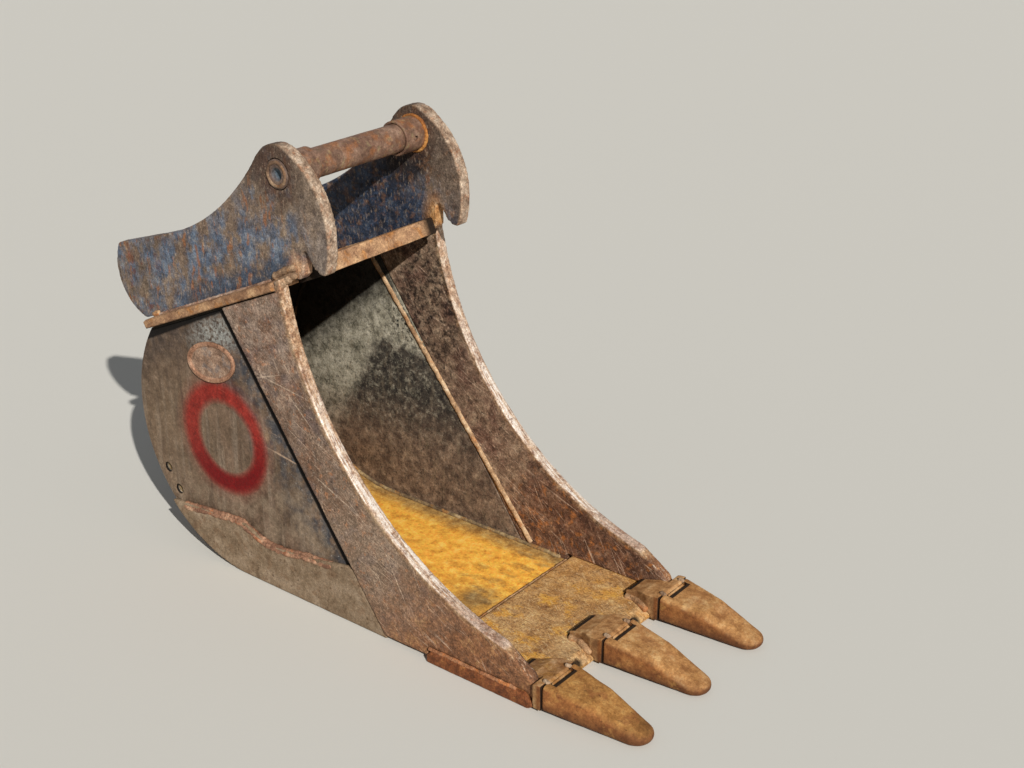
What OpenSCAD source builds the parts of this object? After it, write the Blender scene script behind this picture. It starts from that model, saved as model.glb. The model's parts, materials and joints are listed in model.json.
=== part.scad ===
// Digging bucket of an excavator: welded shell, hooked coupler ears, cross pin and three slip-on teeth.
// X runs forward, the way the teeth point, Y across the bucket and Z up, with the bucket lying on its floor.
// Profile sizes are taken in the side view, from the rearmost line of the back (x) and from the ground (z).

/* [Shell] */
// Width over the two side bars
width = 450; // [400:10:560]
// Outer radius of the curved back, from the floor up to the top plate
back_r = 300; // [292:2:308]
// Thickness of the rolled back and floor
shell_t = 16; // [10:1:20]
// Thickness of the side plates
side_t = 12; // [8:1:18]
// How far the side plates lie inside the side bars' outer faces
side_recess = 13; // [4:1:13]

/* [Mouth] */
// Radius of the hollow front edge of the side bars
mouth_r = 680; // [660:5:690]
// Centre of that edge, forward of the back
mouth_x = 1115; // [1105:5:1125]
// Centre of that edge, above the ground
mouth_z = 760; // [755:5:770]
// Thickness of the side bars
bar_t = 25; // [18:1:32]
// Foot of the side bars' rear edge, forward of the back
bar_foot = 673; // [640:1:700]
// Angle of the side bars' rear edge from level
bar_lean = 55.4; // [54:0.2:57]
// Clearance of the side bars' feet over the ground
bar_lift = 8; // [2:1:12]
// How far the side bars end behind the lip's front edge
bar_short = 2; // [1:1:12]
// Height of the side bars where their front end turns down
bar_nose_z = 60; // [52:1:66]
// Fall of their worn upper edge towards that end
bar_fall = 33; // [30:1:36]

/* [Lip] */
// Seam between the floor and the lip plate
lip_rear = 777; // [740:1:820]
// Front edge of the lip plate
lip_front = 1022; // [1012:1:1026]
// Thickness of the lip plate
lip_t = 28; // [22:1:32]
// How far the lip plate stands out past the side bars
lip_over = 8; // [0:1:14]
// Length of the bevel under and over the lip's front edge
lip_bevel = 22; // [14:1:26]

/* [Top plate] */
// Rear end of the top plate, forward of the back
top_x = 46; // [40:1:52]
// Height of its upper face at that end
top_z = 490; // [486:1:496]
// Rise of the top plate towards the front
top_pitch = 23.8; // [23:0.2:25]
// Length of the top plate
top_len = 413; // [400:1:416]
// Thickness of the top plate
top_t = 20; // [14:1:24]
// How far the top plate stands out past the side bars
top_over = 5; // [0:1:12]
// Length of the bar that ends the top plate between the ears
beam_len = 50; // [36:1:54]
// Thickness of that bar
beam_t = 34; // [26:1:38]
// How far that bar stands over the top plate
beam_rise = 12; // [4:1:14]

/* [Ears] */
// Thickness of the ears
ear_t = 25; // [18:1:32]
// Distance of the ears' outer faces inside the side bars' outer faces
ear_inset = 32; // [20:1:60]
// Radius of the rear lobe
rear_lobe_r = 102; // [96:1:106]
// Slope of the straight stretch that leads from the hollow top edge down to the rear lobe
rear_fall = 18; // [14:1:24]
// Radius of the lobe round the pin
pin_lobe_r = 62; // [58:1:66]
// Radius of the round front edge
front_r = 176; // [172:1:180]
// Radius of the hollow top edge
hollow_r = 509; // [500:1:514]
// Radius of the hook's tip
hook_r = 14; // [11:1:15]

/* [Coupler pin] */
// Pin centre, forward of the back
pin_x = 420; // [416:1:424]
// Pin centre, above the ground
pin_z = 846; // [842:1:850]
// Pin diameter
pin_d = 56; // [45:1:60]
// Length of the pin past each ear
pin_out = 1; // [0:1:6]
// Diameter of the collars
collar_d = 68; // [64:1:80]
// Length of the collars
collar_l = 55; // [20:1:80]
// Diameter of the screw hole in each collar
collar_hole_d = 10; // [6:1:14]
// Diameter of the centre hole in each pin end
centre_d = 22; // [12:1:26]
// Depth of the centre hole
centre_deep = 10; // [4:1:16]

/* [Side holes] */
// Diameter of the two holes near the back of each side
hole_d = 22; // [14:1:26]
// Distance of the two holes' centres inside the back's curve
hole_edge = 28; // [26:1:46]
// Angle of the upper hole below level, seen from that centre
hole_angle = 29.5; // [26:0.5:31]
// Angle between the two holes
hole_step = 10.6; // [9:0.2:12]

/* [Heel plates] */
// Height of the wear plates on the sides of the heel
heel_h = 104; // [80:1:130]
// Rise and fall of their wavy upper edge
heel_wave = 9; // [2:1:12]
// Thickness of the wear plates
heel_t = 10; // [6:1:12]

/* [Oval plate] */
// Length of the blank oval plate
oval_l = 138; // [110:1:150]
// Height of the blank oval plate
oval_h = 84; // [66:1:92]
// Thickness of its raised rim
oval_rim_t = 6; // [4:1:9]
// Width of its raised rim
oval_rim_w = 9; // [6:1:14]
// Tilt of the oval plate
oval_tilt = 14; // [0:1:25]
// Middle of the oval plate, level behind the side bar's rear edge
oval_gap = 139; // [110:1:180]
// Middle of the oval plate, above the ground
oval_z = 444; // [400:1:460]

/* [Teeth] */
// Width of a tooth and its adapter at the joint
tooth_w = 100; // [88:1:104]
// Width of a tooth at its worn tip
tip_w = 62; // [50:1:70]
// Length of a tooth from the joint to its tip
tooth_len = 198; // [160:1:240]
// Height of a tooth at the joint
tooth_h = 52; // [48:1:58]
// Height of the tooth's underside at the joint
tooth_lift = 8; // [4:1:10]
// Radius of the worn tip, seen from the side
tip_r = 12; // [10:1:14]
// Joint between adapter and tooth, forward of the back
joint_x = 1040; // [1036:1:1050]
// Open joint between adapter and tooth
joint_gap = 2; // [1:0.5:4]
// Length of the adapter's strap on the lip, behind the joint
strap_len = 82; // [60:1:110]
// Width of the strap
strap_w = 77; // [60:1:84]
// Thickness of the strap's rear end
strap_t = 12; // [8:1:16]
// Reach of the adapter's tongue past the joint
tongue_len = 14; // [8:1:18]
// Open slot between the tongue's end and the tooth
slot_gap = 5; // [2:1:7]
// Length of the adapter's nose inside the tooth
nose_len = 95; // [70:1:110]
// Diameter of the cross pin that keeps a tooth on
keeper_d = 16; // [10:1:18]
// Steel left in the right cheek over the end of that pin's blind hole
keeper_wall = 6; // [4:1:8]

/* [Hidden] */
$fn = 96;

LEFT = 1;
RIGHT = -1;
MIDDLE = 0;

// Running clearance of pins and of the nose in its tooth, and the depth of the keepers' ends in the tooth
pin_gap = 0.25;
nose_gap = 0.8;
keeper_deep = 2;
// How far the side bars' front end is rounded off
nose_round = 10;
// A length past every outline, for cuts
far = 2000;
// Straight sides that make up the oval
oval_sides = 40;

// Places along and across the bucket
bar_end = lip_front - bar_short;
bar_in = width / 2 - bar_t;
side_out = width / 2 - side_recess;
inner_w = 2 * (side_out - side_t);
ear_out = width / 2 - ear_inset;
ear_in = ear_out - ear_t;
// The outer adapters stand flush with the ends of the lip plate
lip_half = width / 2 + lip_over;
tooth_pitch = lip_half - tooth_w / 2;

// Directions in the top plate's own slope
rise = [cos(top_pitch), sin(top_pitch)];
up = [-sin(top_pitch), cos(top_pitch)];
top_rear = [top_x, top_z];
function on_top(along, over) = top_rear + along * rise + over * up;

// Ear outline: centres of its arcs, and the corners of its lower front edge with the hook's throat
rear_lobe = [42, 576];
pin_lobe = [pin_x + 1, pin_z - 7];
front_arc = [365, 738];
hollow = [-55, 1156];
hook_tip = [521, 692];
ear_foot = [464, 659];
throat_rear = [474, 670];
throat_top = [474, 714];
throat_high = [482, 716];
throat_front = [503, 685];

// Heights of the adapter and of the tooth at the joint
strap_top = lip_t + strap_t;
joint_top = tooth_lift + tooth_h;
tongue_w = 0.58 * tooth_w;
tongue_drop = 9;
nose_wall = 6;
tip_x = joint_x + tooth_len;
strap_sag = 6;

// Half the width of a tooth at a place along it, and the place and ends of its cross pin
function tooth_half(along) = tooth_w / 2 - (tooth_w - tip_w) / 2 * along / (tooth_len - tip_w / 2);
keeper_x = tongue_len + keeper_d;
keeper_right = keeper_wall - tooth_half(keeper_x);
keeper_left = tooth_half(keeper_x) - keeper_deep;

// The part's origin lies under the middle of its whole length
origin_x = (rear_lobe[0] - rear_lobe_r + tip_x) / 2;

rust = "#7a5138";
dark_rust = "#5b4334";
worn_paint = "#4a4a50";
bright_rust = "#a8692f";

// Slab between two planes across the bucket, from a side-view outline
module slab(low, high) {
    translate([0, high, 0]) rotate([90, 0, 0]) linear_extrude(high - low) children();
}

// The same slab on the left or on the right side
module side_slab(side, inner, outer) {
    low = side == LEFT ? inner : -outer;
    slab(low, low + outer - inner) children();
}

module place() {
    translate([-origin_x, 0, 0]) children();
}

// Everything under the top plate and, in front of its end, under the line of its upper face
module under_top() {
    polygon([on_top(-far, -top_t), on_top(top_len, -top_t), on_top(top_len, 0), on_top(far, 0),
             on_top(far, -far), on_top(-far, -far)]);
}

// Everything behind the side bars' rear edge
module behind_bar() {
    reach = far * [cos(bar_lean), -sin(bar_lean)];
    polygon([[bar_foot, 0] + reach, [bar_foot, 0] - reach, [-far, far], [-far, -far]]);
}

// Everything over the side bars' worn front end
module over_nose() {
    turn = [bar_end - nose_round, bar_nose_z];
    polygon([turn + back_r / 2 * [-cos(bar_fall), sin(bar_fall)], turn, [bar_end, bar_nose_z - 2 * nose_round],
             [far, bar_nose_z - 2 * nose_round], [far, far], [bar_end - back_r, far]]);
}

// Whole side of the bucket under the top plate
module side_outline() {
    difference() {
        intersection() {
            union() {
                translate([back_r, back_r]) circle(back_r);
                translate([back_r, 0]) square([bar_end - back_r, far / 2]);
            }
            under_top();
        }
        translate([mouth_x, mouth_z]) circle(mouth_r);
        over_nose();
    }
}

module back_shell() {
    color(dark_rust) place() slab(-inner_w / 2, inner_w / 2) union() {
        intersection() {
            difference() {
                translate([back_r, back_r]) circle(back_r);
                translate([back_r, back_r]) circle(back_r - shell_t);
            }
            under_top();
            translate([-far, -far]) square([far + back_r, 2 * far]);
        }
        translate([back_r, 0]) square([lip_rear - back_r, shell_t]);
    }
}

module lip_plate() {
    color(rust) place() difference() {
        slab(-lip_half, lip_half)
            polygon([[lip_rear, 0], [lip_front - lip_bevel / 2, 0], [lip_front, lip_t / 4],
                     [lip_front, lip_t / 2], [lip_front - lip_bevel, lip_t],
                     [lip_rear + lip_t - shell_t, lip_t], [lip_rear, shell_t]]);
        for (side = [LEFT, RIGHT])
            translate([0, side * lip_half, lip_t]) rotate([45, 0, 0])
                cube([far, lip_over, lip_over], center = true);
    }
}

module side_holes() {
    for (k = [0, 1])
        translate([back_r, back_r]) rotate(180 + hole_angle + k * hole_step)
            translate([back_r - hole_edge, 0]) circle(d = hole_d);
}

module side_plate(side) {
    color(worn_paint) place() side_slab(side, side_out - side_t, side_out) difference() {
        intersection() {
            side_outline();
            behind_bar();
        }
        side_holes();
    }
}

module side_bar(side) {
    color(rust) place() side_slab(side, bar_in, width / 2) difference() {
        side_outline();
        behind_bar();
        translate([0, -far]) square([lip_rear, far + bar_lift]);
        polygon([[lip_rear - 1, lip_t], [lip_front - lip_bevel, lip_t], [lip_front, lip_t / 2],
                 [far, -far], [lip_rear - 1, -far]]);
    }
}

module top_plate() {
    over_w = width + 2 * top_over;
    color(bright_rust) place() slab(-over_w / 2, over_w / 2)
        polygon([on_top(0, 0), on_top(top_len, 0), on_top(top_len, -top_t), on_top(0, -top_t)]);
}

module front_beam() {
    color(bright_rust) place() slab(-ear_in, ear_in)
        polygon([on_top(top_len, beam_rise), on_top(top_len + beam_len, beam_rise),
                 on_top(top_len + beam_len, beam_rise - beam_t), on_top(top_len, beam_rise - beam_t)]);
}

// Web, lobes and round front of an ear, less its hollow top, its foot and the hook's throat
module ear_outline() {
    difference() {
        union() {
            translate(rear_lobe) circle(rear_lobe_r);
            translate(pin_lobe) circle(pin_lobe_r);
            intersection() {
                translate(front_arc) circle(front_r);
                polygon([front_arc, front_arc + far * [cos(62), sin(62)], front_arc + far * [1, 0],
                         front_arc + far * [cos(36), -sin(36)]]);
            }
            polygon([rear_lobe - [0, rear_lobe_r], throat_rear - [0, 15], front_arc + [front_r, 0],
                     pin_lobe + [25, 54], pin_lobe + [-52, 36], rear_lobe + [0, rear_lobe_r]]);
        }
        translate(hollow) circle(hollow_r);
        translate(hollow) rotate(rear_fall) translate([-far, -hollow_r]) square(far);
        polygon([on_top(-far, 0), on_top(top_len, 0), ear_foot, throat_rear, throat_top, throat_high,
                 throat_front, [far, throat_front[1]], [far, -far], [-far, -far]]);
    }
    translate(hook_tip) circle(hook_r);
}

module ear(side) {
    color(worn_paint) place() difference() {
        side_slab(side, ear_in, ear_out) ear_outline();
        translate([pin_x, 0, pin_z]) rotate([90, 0, 0])
            cylinder(h = width, d = pin_d + 2 * pin_gap, center = true);
    }
}

module coupler_pin() {
    half = ear_out + pin_out;
    color(rust) place() translate([pin_x, 0, pin_z]) rotate([90, 0, 0]) difference() {
        cylinder(h = 2 * half, d = pin_d, center = true);
        for (end = [LEFT, RIGHT])
            translate([0, 0, end * half]) cylinder(h = 2 * centre_deep, d = centre_d, center = true);
    }
}

module pin_collar(side) {
    middle = side * (ear_in - collar_l / 2);
    color(rust) place() translate([pin_x, middle, pin_z]) difference() {
        rotate([90, 0, 0]) cylinder(h = collar_l, d = collar_d, center = true);
        rotate([90, 0, 0]) cylinder(h = 2 * collar_l, d = pin_d + 2 * pin_gap, center = true);
        rotate([0, 90, 0]) cylinder(h = collar_d, d = collar_hole_d);
    }
}

// Wear plate round the heel: its upper edge rises, dips sharply and rises again
module heel_plate(side) {
    // [share of the way to the side bar's foot, rise in heel_wave]
    bends = [[0, -0.9], [0.44, 1.5], [0.53, -1.4], [0.67, -0.4], [0.85, 2], [1, 0]];
    waves = [for (b = bends) [b[0] * bar_foot, heel_h + b[1] * heel_wave]];
    color(dark_rust) place() side_slab(side, side_out, side_out + heel_t) intersection() {
        side_outline();
        behind_bar();
        polygon(concat([[-far, -far]], [[-far, heel_h]], waves, [[far, heel_h]], [[far, -far]]));
    }
}

// Ellipse of the oval plate, drawn in from its edge by an inset
module oval_outline(inset) {
    polygon([for (k = [0 : oval_sides - 1]) let (turn = k * 360 / oval_sides)
        [(oval_l / 2 - inset) * cos(turn), (oval_h / 2 - inset) * sin(turn)]]);
}

// Blank oval plate with a raised rim, in the upper half of the right side
module oval_plate() {
    oval_x = bar_foot - oval_z / tan(bar_lean) - oval_gap;
    color(rust) place() translate([oval_x, 0, oval_z]) rotate([0, -oval_tilt, 0]) difference() {
        side_slab(RIGHT, side_out, side_out + oval_rim_t) oval_outline(0);
        side_slab(RIGHT, side_out + oval_rim_t / 2, side_out + 2 * oval_rim_t) oval_outline(oval_rim_w);
    }
}

// Side view of the adapter behind the joint: strap on the lip, rise, and foot round the lip's edge
module adapter_side() {
    polygon([[joint_x - strap_len, lip_t], [joint_x - strap_len, strap_top],
             [joint_x - strap_len / 2, joint_top - strap_sag],
             [joint_x, joint_top], [joint_x, tooth_lift], [lip_front, tooth_lift], [lip_front, lip_t / 2],
             [lip_front - lip_bevel, lip_t]]);
}

// Plan of the adapter: the strap widens to the joint
module adapter_plan() {
    flare = strap_len / 3;
    half = [for (s = [1, -1]) s * tooth_w / 2];
    polygon([[joint_x - strap_len, strap_w / 2], [joint_x - 2 * flare, strap_w / 2], [joint_x - flare, half[0]],
             [joint_x + far, half[0]], [joint_x + far, half[1]], [joint_x - flare, half[1]],
             [joint_x - 2 * flare, -strap_w / 2], [joint_x - strap_len, -strap_w / 2]]);
}

// Wedge that goes into the tooth, grown by a gap for the tooth's socket
module nose(gap) {
    rear = joint_x - 1;
    tip = joint_x + nose_len + gap;
    low = tooth_lift + nose_wall - gap;
    high = joint_top - 2 * nose_wall + gap;
    rear_half = tooth_w / 2 - 2 * nose_wall + gap;
    tip_half = tip_w / 2 - nose_wall + gap;
    intersection() {
        slab(-tooth_w, tooth_w) polygon([[rear, low], [rear, high], [tip, low + 2 * tip_r + gap], [tip, low]]);
        linear_extrude(2 * joint_top)
            polygon([[rear, -rear_half], [tip, -tip_half], [tip, tip_half], [rear, rear_half]]);
    }
}

// Tongue on top of the adapter, which reaches over the joint into the tooth's notch
module tongue(gap, slot) {
    reach = joint_x + tongue_len + slot;
    low = joint_top - 2 * nose_wall - gap;
    slab(-tongue_w / 2 - gap, tongue_w / 2 + gap)
        polygon([[joint_x - 1, low], [joint_x - 1, joint_top + gap], [joint_x, joint_top + gap],
                 [reach, joint_top - tongue_drop + 2 * gap], [reach, low]]);
}

// Hole of the cross pin: open on the left, blind in the right cheek
module keeper_hole(gap) {
    translate([joint_x + keeper_x, keeper_right - gap, tooth_lift + tooth_h / 2 - 1]) rotate([-90, 0, 0])
        cylinder(h = 2 * tooth_w, d = keeper_d + 2 * gap);
}

module adapter(row) {
    color(bright_rust) place() difference() {
        translate([0, row * tooth_pitch, 0]) difference() {
            union() {
                intersection() {
                    slab(-tooth_w, tooth_w) adapter_side();
                    linear_extrude(2 * joint_top) adapter_plan();
                }
                nose(0);
                tongue(0, 0);
            }
            keeper_hole(pin_gap);
        }
        if (row != MIDDLE)
            translate([bar_end - far, row > 0 ? bar_in : -bar_in - far, 0]) cube([far + 1, far, far]);
    }
}

// Two cross-sections of a tooth and its worn tip, which is round in plan
module tooth_body() {
    // [along, half_width, underside, top, corner]
    middle = 0.45 * tooth_len;
    sections = [[joint_gap, tooth_w / 2, tooth_lift, joint_top, 9],
                [middle, tooth_half(middle), 0.4 * tooth_lift, joint_top - 8, 14]];
    hull() {
        for (s = sections, y = [1, -1], z = [0, 1])
            translate([joint_x + s[0], y * (s[1] - s[4]), z == 0 ? s[2] + s[4] : s[3] - s[4]])
                rotate([0, 90, 0]) cylinder(h = 2, r = s[4], $fn = 24);
        translate([tip_x - tip_w / 2, 0, tip_r]) rotate_extrude($fn = 40)
            translate([tip_w / 2 - tip_r, 0]) circle(tip_r, $fn = 24);
    }
}

module tooth(row) {
    color(bright_rust) place() translate([0, row * tooth_pitch, 0]) difference() {
        tooth_body();
        nose(nose_gap);
        tongue(joint_gap, slot_gap);
        keeper_hole(pin_gap);
    }
}

// Cross pin of a tooth, driven in from the left until its end lies just inside the cheek
module tooth_keeper(row) {
    color(dark_rust) place() translate([0, row * tooth_pitch, 0]) intersection() {
        keeper_hole(0);
        translate([0, keeper_right, 0]) cube([far, keeper_left - keeper_right, far]);
    }
}

back_shell();
lip_plate();
side_plate(LEFT);  // side_plate_left
side_plate(RIGHT);  // side_plate_right
side_bar(LEFT);  // side_bar_left
side_bar(RIGHT);  // side_bar_right
top_plate();
front_beam();
ear(LEFT);  // ear_left
ear(RIGHT);  // ear_right
coupler_pin();
pin_collar(LEFT);  // pin_collar_left
pin_collar(RIGHT);  // pin_collar_right
heel_plate(LEFT);  // heel_plate_left
heel_plate(RIGHT);  // heel_plate_right
oval_plate();
adapter(LEFT);  // adapter_left
adapter(MIDDLE);  // adapter_middle
adapter(RIGHT);  // adapter_right
tooth(LEFT);  // tooth_left
tooth(MIDDLE);  // tooth_middle
tooth(RIGHT);  // tooth_right
tooth_keeper(LEFT);  // tooth_keeper_left
tooth_keeper(MIDDLE);  // tooth_keeper_middle
tooth_keeper(RIGHT);  // tooth_keeper_right
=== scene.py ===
# %% [markdown]
# # A worn digging bucket
# This lesson dresses the bucket of an excavator. The CAD model already holds every plate, ear and tooth
# at its real size, so the lesson is about what years of digging do to them: rolled edges, weld beads,
# rust, rubbed steel and the last of the paint. The frame is the CAD model's own: metres, X forward, Y to
# the left, Z up.

# %% Load the frame
import json
from math import cos, pi, radians, sin

import bpy
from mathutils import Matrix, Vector

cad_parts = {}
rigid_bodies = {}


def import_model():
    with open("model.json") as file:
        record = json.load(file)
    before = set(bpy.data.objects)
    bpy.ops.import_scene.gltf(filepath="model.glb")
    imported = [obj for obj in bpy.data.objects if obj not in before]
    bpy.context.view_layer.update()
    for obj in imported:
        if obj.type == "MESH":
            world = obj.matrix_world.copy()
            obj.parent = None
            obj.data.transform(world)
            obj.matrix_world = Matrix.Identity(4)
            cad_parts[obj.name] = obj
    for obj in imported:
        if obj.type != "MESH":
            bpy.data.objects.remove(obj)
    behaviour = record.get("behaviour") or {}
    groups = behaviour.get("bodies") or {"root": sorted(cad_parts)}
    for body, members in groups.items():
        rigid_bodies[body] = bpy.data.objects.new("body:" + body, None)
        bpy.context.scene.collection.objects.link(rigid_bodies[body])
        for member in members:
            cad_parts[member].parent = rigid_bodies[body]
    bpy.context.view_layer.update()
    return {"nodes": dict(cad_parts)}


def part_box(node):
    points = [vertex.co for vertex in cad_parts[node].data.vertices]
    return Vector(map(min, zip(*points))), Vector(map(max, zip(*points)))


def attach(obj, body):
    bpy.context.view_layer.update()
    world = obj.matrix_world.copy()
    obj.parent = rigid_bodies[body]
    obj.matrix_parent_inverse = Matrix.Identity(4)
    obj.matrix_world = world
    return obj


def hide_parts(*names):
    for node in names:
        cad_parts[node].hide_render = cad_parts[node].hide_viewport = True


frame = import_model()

# %% [markdown]
# ## Places
# A bucket is measured from the rearmost line of its back and from the ground, in millimetres. One helper
# turns such a place into the frame's metres, so that every size below reads as on a drawing.

# %% Places in millimetres
MM = 0.001
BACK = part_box("back_shell")[0].x
LEFT, RIGHT = 1, -1
SIDE_NAMES = {LEFT: "left", RIGHT: "right"}


def spot(x, y, z):
    """The frame's point x mm forward of the back, y mm to the left and z mm above the ground."""
    return Vector((BACK + x * MM, y * MM, z * MM))


def node_box(node):
    """A CAD node's lowest and highest corner, in mm from the back's rearmost line."""
    low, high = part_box(node)
    shift = Vector((BACK, 0, 0))
    return (low - shift) / MM, (high - shift) / MM


plate_out = node_box("side_plate_left")[1].y
bar_out = node_box("side_bar_left")[1].y
lip_front = node_box("lip_plate")[1].x
ROW_STEP = node_box("tooth_left")[1].y - node_box("tooth_middle")[1].y
print("side plates at", round(plate_out), "bars at", round(bar_out), "teeth", round(ROW_STEP), "mm apart")

# %% [markdown]
# ## Camera
# The bucket is seen from head height, from the front right. A longer lens from further away would flatten
# it. A 54.5 mm lens from this place gives the perspective of the real view.

# %% Camera
LENS = 54.5
TILT_DOWN, TURN_LEFT = radians(23.97), radians(38.27)
EYE = spot(2376, -2005, 1615)
bpy.ops.object.camera_add(location=EYE, rotation=(radians(90) - TILT_DOWN, 0, TURN_LEFT))
camera = bpy.context.object
camera.name = "camera"
camera.data.lens = LENS
bpy.context.scene.camera = camera
bpy.context.scene.view_settings.view_transform = "Standard"
print("camera:", LENS, "mm lens at", [round(v, 2) for v in camera.location])

# %% [markdown]
# ## Light
# The real light is a clear sun from the right, which leaves the far side of the bowl in shade. A soft
# area lamp would blur that shadow's edge. A sun lamp with a small disc keeps it crisp.

# %% Sun
bpy.ops.object.light_add(type="SUN", rotation=Vector((1.54, -1.0, 1.23)).to_track_quat("Z", "Y").to_euler())
key = bpy.context.object
key.name = "key_light"
key.data.energy = 3.9
key.data.angle = radians(0.8)
key.data.color = (1.0, 0.97, 0.92)
print("sun:", key.data.energy)

# %% [markdown]
# ## Colours and nodes
# A colour is picked as a hex code, but Blender reckons in linear light, so one function converts it. Node
# trees could be wired by hand. In code, one small function that adds a node with its settings and links
# is enough.


# %% Colours and nodes
def srgb(code):
    """Blender's linear colour for a hex code."""
    parts = [int(code[k:k + 2], 16) / 255 for k in (1, 3, 5)]
    return [p / 12.92 if p <= 0.04045 else ((p + 0.055) / 1.055) ** 2.4 for p in parts] + [1]


USUAL = {3: (0.2, 0.6, 0.9), 4: (0.1, 0.4, 0.65, 0.9)}


def tones(codes, *places):
    """Colour stops from dark to light: hex codes, at these places or at the usual ones."""
    codes = codes.split()
    return list(zip(places or USUAL[len(codes)], codes))


def add(tree, kind, sockets=None, stops=None, **settings):
    """Adds a node, with its settings, its colour stops, and its sockets set or linked."""
    node = tree.nodes.new("ShaderNode" + kind)
    for name, value in settings.items():
        setattr(node, name, value)
    for place, code in stops or []:
        stop = node.color_ramp.elements.new(place)
        stop.color = srgb(code)
    if stops:
        node.color_ramp.elements.remove(node.color_ramp.elements[0])
        node.color_ramp.elements.remove(node.color_ramp.elements[-1])
    for name, value in (sockets or {}).items():
        if isinstance(value, bpy.types.NodeSocket):
            tree.links.new(value, node.inputs[name])
        else:
            node.inputs[name].default_value = value
    return node


print("a mid grey in linear light:", round(srgb("#808080")[0], 3))

# %% [markdown]
# ## World and floor
# A pale world fills the shadows with a little blue, as the sky does. The camera and any shiny surface see
# a bright backdrop instead. Lighting the steel with it would wash it out, so Light Path keeps the two
# apart. The floor is matt and pale: it takes the shadow and gives no shine.

# %% World
world = bpy.data.worlds.new("studio")
bpy.context.scene.world = world
world.use_nodes = True
sky = world.node_tree
sky.nodes.clear()
rays = add(sky, "LightPath").outputs
seen = add(sky, "Math", {0: rays["Is Camera Ray"], 1: rays["Is Glossy Ray"]}, operation="MAXIMUM")
seen = add(sky, "Math", {0: seen.outputs[0], 1: rays["Is Transmission Ray"]}, operation="MAXIMUM")
fill = add(sky, "Background", {"Color": srgb("#e4e9f0"), "Strength": 0.21})
backdrop = add(sky, "Background", {"Color": srgb("#f0f0ee"), "Strength": 0.9})
choice = add(sky, "MixShader", {0: seen.outputs[0], 1: fill.outputs[0], 2: backdrop.outputs[0]})
add(sky, "OutputWorld", {"Surface": choice.outputs[0]})
print("world:", len(sky.nodes), "nodes")

# %% Floor
UNDER_FEET = -0.0005
bpy.ops.mesh.primitive_plane_add(size=40, location=(0, 0, UNDER_FEET))
floor = bpy.context.object
floor.name = "studio_floor"
floor.data.materials.append(bpy.data.materials.new("pale_floor"))
floor.data.materials[0].use_nodes = True
floor_shader = floor.data.materials[0].node_tree.nodes["Principled BSDF"]
floor_shader.inputs["Base Color"].default_value = srgb("#d6d4cd")
floor_shader.inputs["Roughness"].default_value = 0.9
print("floor:", floor.dimensions.x, "m wide")

# %% [markdown]
# ## Where a layer lies
# A bucket starts as blue-black mill plate, gets a coat of paint, and then rusts, rubs and dries out.
# Painting each look would need images. Here a finish is built up in code the way it came about: a ground
# colour, then layer upon layer, each with masks that are 1 where it lies and 0 elsewhere. All patterns
# use Object coordinates in real millimetres.


# %% Clouds
class Clouds:
    """A new material, and the cloud patterns that break up everything on it."""

    def __init__(self, name):
        self.material = bpy.data.materials.new(name)
        self.material.use_nodes = True
        self.tree = self.material.node_tree
        self.tree.nodes.clear()
        self.where = add(self.tree, "TexCoord").outputs["Object"]

    def clouds(self, size, low, high, turn=(0, 0, 0), seed=0, detail=6, grit=0.6):
        """Patches about size mm across (one number, or one along each axis): 0 under low, 1 over high."""
        sizes = size if isinstance(size, tuple) else (size, size, size)
        place = add(self.tree, "Mapping", {
            "Vector": self.where, "Location": (seed, 0.7 * seed, -seed), "Rotation": turn,
            "Scale": [s * MM for s in sizes]}, vector_type="TEXTURE").outputs[0]
        noise = add(self.tree, "TexNoise", {"Vector": place, "Scale": 1.0, "Detail": detail,
                                            "Roughness": grit}).outputs["Fac"]
        return add(self.tree, "MapRange", {"Value": noise, "From Min": low, "From Max": high}).outputs[0]

    def torn(self, reach, depth, size, seed):
        """A distance made uneven by clouds, so that a mask's outline tears."""
        tear = self.clouds(size, 0, 1, seed=seed, detail=8, grit=0.65)
        return add(self.tree, "Math", {0: tear, 1: depth, 2: reach}, operation="MULTIPLY_ADD").outputs[0]


print("patterns:", [name for name in vars(Clouds) if not name.startswith("_")])

# %% [markdown]
# ## Masks by place
# Wear follows places: round a pin, below a line, on an edge. Painted masks would need a texture for every
# piece. These are measured from the bucket's own sizes.

# %% Masks by place
# So long a stretch makes a mask run through the whole width.
EVERY = 1e6


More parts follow.
